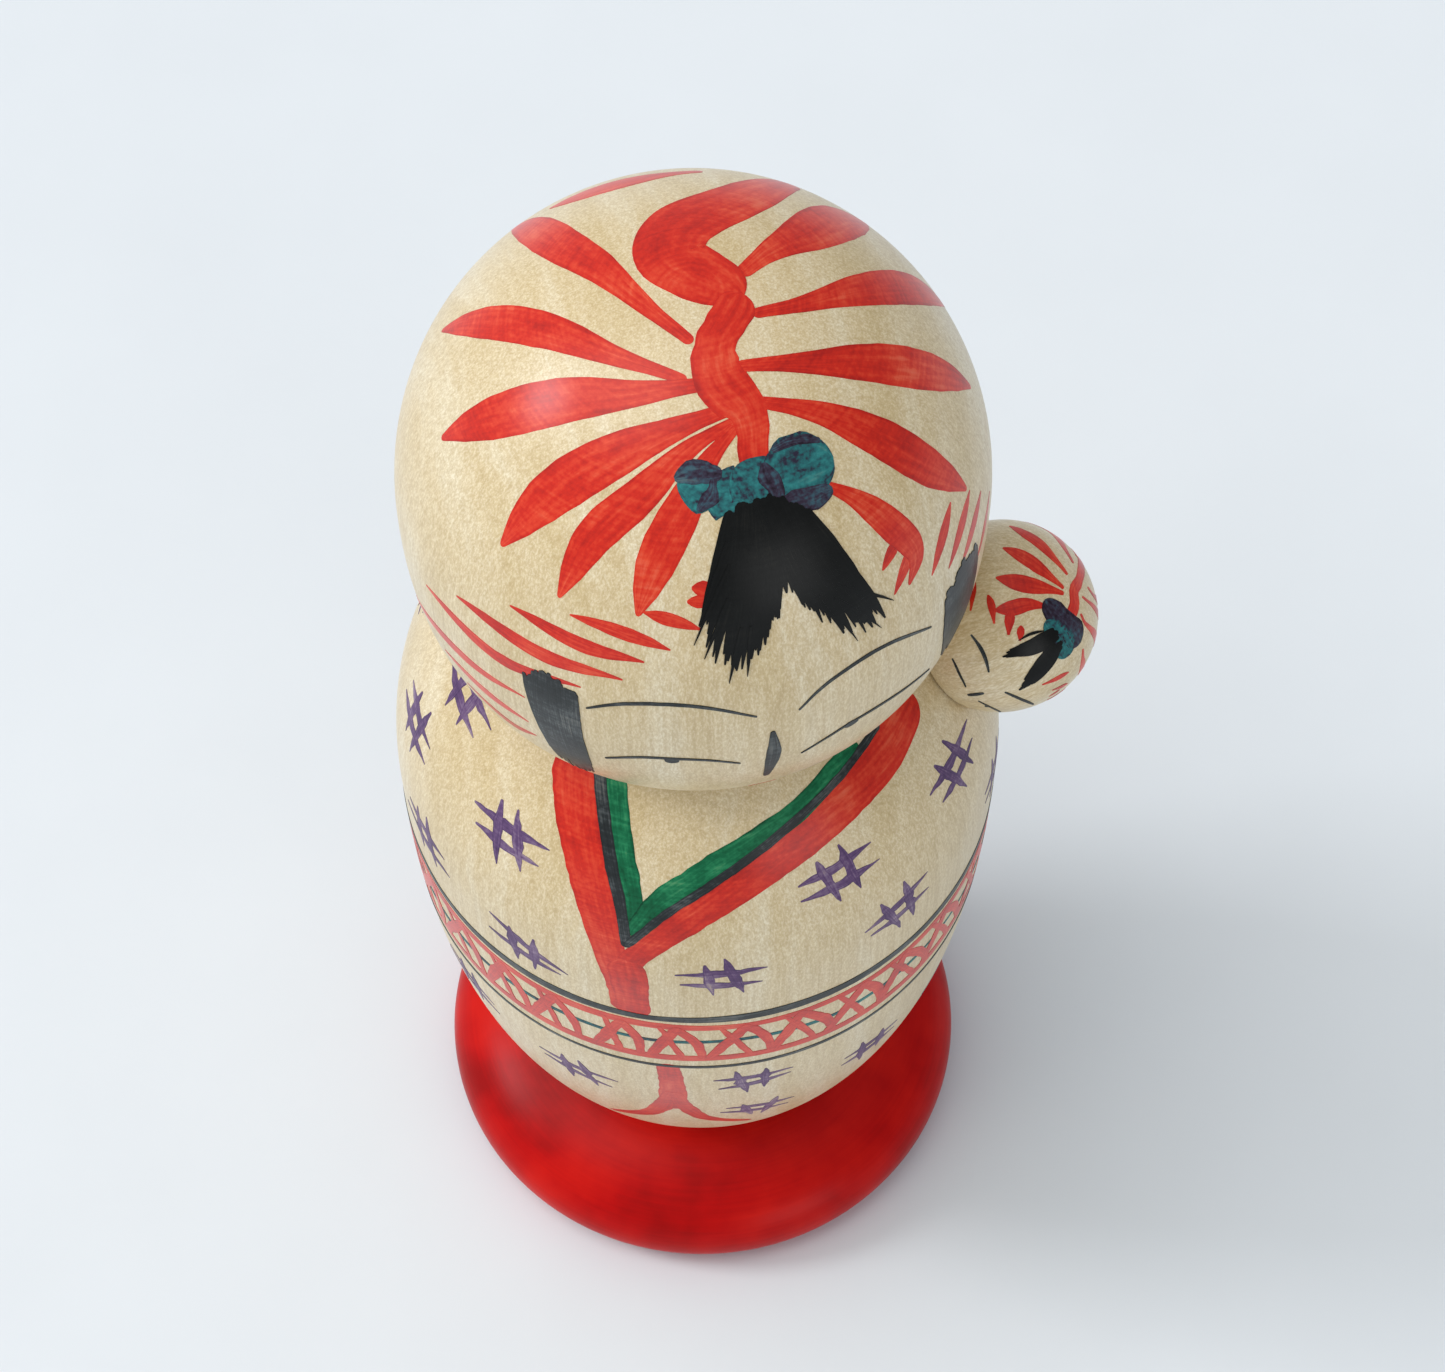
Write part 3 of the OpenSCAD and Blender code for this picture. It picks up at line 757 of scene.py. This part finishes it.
# Each bar of a mark: its lean in degrees, how far off the middle it lies and its length, in mm.
MARK_BARS = [(0, -1.1, MARK_LONG), (0, 1.1, MARK_LONG), (78, -1.25, MARK_TALL), (78, 1.25, MARK_TALL)]
MARK_SHAPE = (0.2, 0.7, 1.0, 1.0, 0.6, 0.1)
MARK_LIFT, MARK_STEP, BAR_STEP, MARK_RAGGED = 0.02, 0.0004, 0.003, 0.22
marks = []
for i, (turn, down) in enumerate(MARK_PLACES):
    tilt = math.radians(rng.uniform(-14, 12))
    round_way = math.degrees(1 / np.interp(down + body.start, body.down, body.radius))
    for bar, (lean, offset, size) in enumerate(MARK_BARS):
        way = tilt + math.radians(lean + rng.normal() * 6)
        c, s = math.cos(way), math.sin(way)
        half = size / 2 * rng.uniform(0.8, 1.1)
        rows = [(turn + (c * a - s * offset) * round_way, down + s * a + c * offset)
                for a in (-half, 0.0, half)]
        lift = MARK_LIFT + MARK_STEP * i + BAR_STEP * bar
        marks.append(stroke(body, rows, MARK_BREADTH, MARK_SHAPE, lift, rng, MARK_RAGGED))
paint("kimono_marks", body, marks, purple_dye, "figure")


# --------------------------------------------------------------------
# The small head on the shoulder: a ball of the same wood with a flat seat and a thin dowel,
# pinned to the shoulder's flat spot. It leans outwards and turns on its dowel.
# --------------------------------------------------------------------
BABY_RADIUS, BABY_FULL, BABY_FLAT = 9.3, 2.06, 5.8
BABY_HOLE, BABY_HOLE_DEEP = 2.02, 8.0
BABY_FACE_TURN = -14.0
BABY_TURNS = 160
baby_r, baby_z = swell(BABY_RADIUS, BABY_RADIUS, BABY_FULL, BABY_RADIUS, 48)
seat_r, seat_z = swell(BABY_RADIUS, BABY_RADIUS, BABY_FULL, BABY_FLAT, 40)
baby_top = np.stack([baby_r, baby_z], 1)[::-1]
baby_low = np.stack([seat_r, -seat_z], 1)[1:]
baby_skin = np.vstack([baby_top, baby_low, [0, -BABY_FLAT]])
baby_outline = np.vstack([
    [0, BABY_RADIUS], baby_top[1:], baby_low[:-2],
    eased(baby_low[-1], baby_low[-2], baby_low[-1] - [SOFT_EDGE / 2, 0]),
    [BABY_HOLE, -BABY_FLAT], [BABY_HOLE, BABY_HOLE_DEEP - BABY_FLAT],
    [0, BABY_HOLE_DEEP - BABY_FLAT]])
BABY_HEAD_PLACE = BABY_PLACE @ Matrix.Rotation(math.radians(BABY_FACE_TURN), 4, "Z")
baby_wood = lathe("baby_head_wood", baby_outline, BABY_HEAD_PLACE, 3.0, bare_wood, BABY_TURNS)
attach(baby_wood, "baby_head")
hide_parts("baby_head")
baby = skin_of(baby_skin, 0.0, 0.0, BABY_HEAD_PLACE, 3.0)


# --------------------------------------------------------------------
# The small head's painting: the mother's flower, knot, forelock and face again in the same
# dyes, smaller and with fewer strokes.
# --------------------------------------------------------------------
BABY_PETALS = [
    (1.7, (-91, 9.5), (-86, 7.8), (-78, 6.2), (-68, 4.9), (-50, 3.4)),
    (1.6, (-119, 9.7), (-114, 8), (-108, 6.1), (-98, 4.4), (-80, 2.6)),
    (1.6, (-150, 10.5), (-155, 7.3), (-142, 4.5), (-133, 2.5)),
    (1.8, (-67, 10.2), (-63, 8.7), (-58, 7), (-53, 5.4), (-42, 3.6)),
    (1.6, (-46, 11), (-44, 9.3), (-43, 7.7), (-34, 5.8)),
    (1.1, (95, 10.5), (80, 6.6), (36, 3.7), (9, 3)), (1.0, (118, 9.5), (99, 4.8), (62, 1.7), (-3, 1.3)),
    (1.1, (140, 9.5), (120, 5), (111, 2.4), (130, 0.8)), (1.1, (170, 10), (178, 6.5), (-170, 4)),
    (1.0, (66, 10), (48, 7.3), (38, 6)),
]
BABY_STEM = [(-4, 5.8), (-8, 4.2), (-14, 2.9), (-41, 2.1), (-83, 1), (-164, 1.9), (177, 4.6)]
BABY_STEM_SHAPE = (0.8, 1.0, 1.0, 0.7, 0.9, 0.7)
BABY_SIDE = [
    (1.0, (-44, 9.4), (-36, 10), (-28, 10.6)), (0.8, (-31, 9.1), (-21, 9.9)),
    (0.8, (-57, 11.2), (-38, 11.4)),
    (0.7, (34, 8.5), (25, 9.7), (19, 10.9)), (0.6, (47, 10), (33, 11)), (0.5, (43, 10.8), (39, 12)),
    (0.7, (-72, 12.4), (-50, 13.2)), (0.6, (62, 11.5), (46, 12.8)),
]
BABY_STEM_BREADTH, BABY_STEM_LIFT, BABY_STEM_RAGGED = 1.4, 0.05, 0.06
BABY_RED_LIFT, BABY_RED_STEP, BABY_RAGGED = 0.03, 0.001, 0.04
baby_red = [stroke(baby, places, breadth, LEAF, BABY_RED_LIFT + BABY_RED_STEP * i, rng, BABY_RAGGED)
            for i, (breadth, *places) in enumerate(BABY_PETALS + BABY_SIDE)]
baby_red.append(stroke(baby, BABY_STEM, BABY_STEM_BREADTH, BABY_STEM_SHAPE, BABY_STEM_LIFT, rng,
                       BABY_STEM_RAGGED))
paint("baby_crown_flower", baby, baby_red, red_dye, "baby_head")

BABY_FOLD, BABY_FOLD_SHAPE = [(-42, 6.1), (-25, 5.4), (4, 4.9), (27, 5.7)], (0.7, 1.0, 1.1, 0.9)
BABY_KNOT, BABY_KNOT_SHAPE = [(-24, 6.9), (-3, 6.3), (19, 7.3)], (0.7, 1.0, 1.1)
BABY_FOLD_BREADTH, BABY_FOLD_LIFT = 2.6, 0.06
BABY_KNOT_BREADTH, BABY_KNOT_LIFT, BABY_KNOT_RAGGED = 2.3, 0.064, 0.25
baby_fold = [stroke(baby, BABY_FOLD, BABY_FOLD_BREADTH, BABY_FOLD_SHAPE, BABY_FOLD_LIFT, rng,
                    BABY_KNOT_RAGGED)]
paint("baby_knot_fold", baby, baby_fold, plum_dye, "baby_head")
baby_knot = [stroke(baby, BABY_KNOT, BABY_KNOT_BREADTH, BABY_KNOT_SHAPE, BABY_KNOT_LIFT, rng,
                    BABY_KNOT_RAGGED)]
paint("baby_knot", baby, baby_knot, teal_dye, "baby_head")

BABY_HAIRS, BABY_UNEVEN = 14, 0.5
BABY_FORELOCK = [
    ([(-14, 6.7), (-8, 6.6), (-2, 7)], [(-19, 11.2), (-17, 12), (-14, 10.4)], 0.75, 0.07),
    ([(-4, 7.2), (2, 6.9), (6, 7.2)], [(5, 11.6), (10, 12.7), (12, 11.4)], 0.8, 0.08),
]
BABY_STRAY = [(-18, 7.3), (-22, 8.7), (-22, 10)]
BABY_STRAY_BREADTH, BABY_STRAY_LIFT = 0.3, 0.09
baby_hair = []
for roots, tips, breadth, lift in BABY_FORELOCK:
    baby_hair += lock(baby, roots, tips, BABY_HAIRS, breadth, lift, rng, BABY_UNEVEN)
baby_hair.append(stroke(baby, BABY_STRAY, BABY_STRAY_BREADTH, SPIKE, BABY_STRAY_LIFT, rng))
paint("baby_forelock", baby, baby_hair, ink, "baby_head")

BABY_FACE = [
    (0.36, (-37, 13.9), (-27, 13.5), (-11, 14)), (0.36, (7, 14), (19, 13.5), (37, 13.6)),
    (0.26, (-27, 16.8), (-16, 16.9), (-5, 17.2)), (0.26, (9, 17.2), (18, 16.8), (33, 16.9)),
    (0.5, (16, 17), (18.5, 17)), (0.4, (2.5, 15.8), (2.2, 17), (2, 17.8)),
]
BABY_LINE_SHAPE = (0.5, 1.0, 1.0, 0.5)
BABY_FACE_LIFT, BABY_FACE_STEP = 0.06, 0.001
baby_face = [stroke(baby, places, breadth, BABY_LINE_SHAPE, BABY_FACE_LIFT + BABY_FACE_STEP * i, rng)
             for i, (breadth, *places) in enumerate(BABY_FACE)]
paint("baby_face_lines", baby, baby_face, slate_ink, "baby_head")


# --------------------------------------------------------------------
# The foot: a low dome of dogwood stained deep red all over and polished on the lathe until
# it shines, glued to the body with a dowel.
# --------------------------------------------------------------------
BASE_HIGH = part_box("base")[1] / MM
BASE_RADIUS = BASE_HIGH.x
BASE_RIM, BASE_DOME, BASE_FULL, BASE_FLAT = 4.4, 10.9, 2.23, 22.8
FOOT_SOCKET = 9.0
# The stain's clouds to a millimetre: about 11 mm wide.
CLOUDS = 0.09


def red_stained_foot():
    """Red stain soaked right into the wood and polished: deep red, a little cloudy, faintly
    darker in the lathe's grooves, with a soft low sheen."""
    material, tree, shader = new_material("red_stained_polished_dogwood")
    _, relief, rings = dogwood(tree)
    block = add(tree, "Attribute", attribute_name="block_mm").outputs["Vector"]
    clouds = add(tree, "TexNoise", {"Vector": block, "Scale": CLOUDS, "Detail": 4.0}).outputs["Fac"]
    mixed = add(tree, "Math", {0: rings, 1: 0.15, 2: clouds}, operation="MULTIPLY_ADD").outputs[0]
    stain = add(tree, "ValToRGB", {"Fac": mixed},
                [(0.38, "#960303"), (0.56, "#b50504"), (0.75, "#c81208")]).outputs[0]
    tree.links.new(stain, shader.inputs["Base Color"])
    wax(tree, shader, relief, roughness=0.36, coat=0.08, gleam=0.08, depth=0.012)
    return material


dome_r, dome_z = swell(BASE_RADIUS, BASE_DOME, BASE_FULL, BASE_HIGH.z - BASE_RIM)
edge = np.linspace(0, math.pi / 2, 16)[1:]
foot_edge = np.stack([BASE_FLAT + (BASE_RADIUS - BASE_FLAT) * np.cos(edge),
                      BASE_RIM * (1 - np.sin(edge))], 1)
dome = np.stack([dome_r, BASE_RIM + dome_z], 1)[::-1]
base_outline = np.vstack([
    [0, BASE_HIGH.z - FOOT_SOCKET], [FOOT_HOLE, BASE_HIGH.z - FOOT_SOCKET],
    [FOOT_HOLE, BASE_HIGH.z],
    dome, foot_edge, [0, 0]])
foot = lathe("red_foot", base_outline, UPRIGHT, 4.0, red_stained_foot())
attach(foot, "figure")
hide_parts("base")


# --------------------------------------------------------------------
# The dowels: split and planed sticks of harder, darker wood with straight grain, unfinished.
# Each is glued into one piece and hidden inside the next.
# --------------------------------------------------------------------
# Streaks to a metre, across the stick and along it.
DOWEL_GRAIN = (1900, 1900, 40)


def dowel_wood():
    """Unfinished hardwood dowel: brown straight grain, in streaks half a millimetre wide and
    25 mm long, and no sheen."""
    material, tree, shader = new_material("dowel_wood")
    where = add(tree, "TexCoord").outputs["Object"]
    long_grain = add(tree, "Mapping", {"Vector": where, "Scale": DOWEL_GRAIN}).outputs[0]
    grain = add(tree, "TexNoise", {"Vector": long_grain, "Scale": 1.0, "Detail": 3.0}).outputs["Fac"]
    tone = add(tree, "ValToRGB", {"Fac": grain}, [(0.35, "#b98d5a"), (0.65, "#d8b585")]).outputs[0]
    tree.links.new(tone, shader.inputs["Base Color"])
    shader.inputs["Roughness"].default_value = 0.7
    return material


peg_material = dowel_wood()
for node in ("base_peg", "neck_peg", "baby_peg"):
    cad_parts[node].material_slots[0].material = peg_material


# --------------------------------------------------------------------
# The room: the doll stands on a sheet of matte pale paper and is looked down on from the front.
# A big soft lamp hangs over it, a window is at its right hand and a white card before it.
# --------------------------------------------------------------------
EYE = Vector((33.2, -170.7, 389.2)) * MM
AIM = Vector((2.5, 0.45, 84.6)) * MM
CAMERA_ROLL = math.radians(-0.26)
# The width of the sensor and the focal length of the lens, in mm.
SENSOR, LENS = 36.0, 87.197235
camera = bpy.data.objects.new("camera", bpy.data.cameras.new("camera"))
bpy.context.scene.collection.objects.link(camera)
camera.data.sensor_fit = "HORIZONTAL"
camera.data.sensor_width = SENSOR
camera.data.lens = LENS
camera.location = EYE
straight = (AIM - EYE).to_track_quat("-Z", "Y").to_matrix()
camera.rotation_euler = (straight @ Matrix.Rotation(CAMERA_ROLL, 3, "Z")).to_euler()
bpy.context.scene.camera = camera

# Uncoated paper: a cool near-white with a faint mottle 25 mm across and no sheen.
MOTTLE = 40.0
floor_material, floor_tree, floor_shader = new_material("matte_paper")
floor_spot = add(floor_tree, "TexCoord").outputs["Object"]
mottle = add(floor_tree, "TexNoise", {"Vector": floor_spot, "Scale": MOTTLE, "Detail": 3.0})
tint = add(floor_tree, "ValToRGB", {"Fac": mottle.outputs["Fac"]},
           [(0.3, "#dfe3e6"), (0.7, "#e1e5e8")]).outputs[0]
floor_tree.links.new(tint, floor_shader.inputs["Base Color"])
floor_shader.inputs["Roughness"].default_value = 0.9
# Metres from the doll to each edge of the paper.
REACH = 6.0
floor_corners = [(-REACH, -REACH, 0), (REACH, -REACH, 0), (REACH, REACH, 0), (-REACH, REACH, 0)]
floor_mesh = bpy.data.meshes.new("floor")
floor_mesh.from_pydata(floor_corners, [], [(0, 1, 2, 3)])
floor_mesh.materials.append(floor_material)
floor = bpy.data.objects.new("floor", floor_mesh)
bpy.context.scene.collection.objects.link(floor)
floor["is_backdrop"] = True


DOLL_MIDDLE = Vector((0, 0, 0.07))


def softbox(name, at, size, watts, colour):
    """A soft square light at a point in metres, aimed at the middle of the doll."""
    light = bpy.data.lights.new(name, "AREA")
    light.shape, light.size, light.energy = "SQUARE", size, watts
    light.color = linear(colour)[:3]
    lamp = bpy.data.objects.new(name, light)
    lamp.location = at
    lamp.rotation_euler = (DOLL_MIDDLE - Vector(at)).to_track_quat("-Z", "Y").to_euler()
    bpy.context.scene.collection.objects.link(lamp)


softbox("ceiling", (-1.2, -0.4, 3.5), 2.4, 50.0, "#fffbf5")
softbox("window", (-2.43, -0.21, 1.88), 0.75, 30.0, "#fbfcff")
softbox("white_card", (1.9, -2.1, 0.5), 1.3, 13.0, "#ffffff")

# The white walls are brightest above and beside the window and dimmer on the far side.
BRIGHT_SIDE, DIMMEST, BRIGHTEST = (-0.7, -0.1, 0.7), 0.36, 0.88
world = bpy.data.worlds.new("white_room")
bpy.context.scene.world = world
world.use_nodes = True
sky = world.node_tree
around = add(sky, "TexCoord").outputs["Generated"]
toward_window = add(sky, "VectorMath", {0: around, 1: BRIGHT_SIDE}, operation="DOT_PRODUCT")
glow = add(sky, "MapRange", {"Value": toward_window.outputs["Value"],
                             "From Min": -0.35, "From Max": 1.0,
                             "To Min": DIMMEST, "To Max": BRIGHTEST}).outputs[0]
sky.nodes["Background"].inputs["Color"].default_value = linear("#eaf1f8")
sky.links.new(glow, sky.nodes["Background"].inputs["Strength"])
bpy.context.scene.view_settings.view_transform = "Standard"

size = {"cad": [list(corner) for corner in cad_box], "visual": [list(corner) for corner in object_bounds()]}
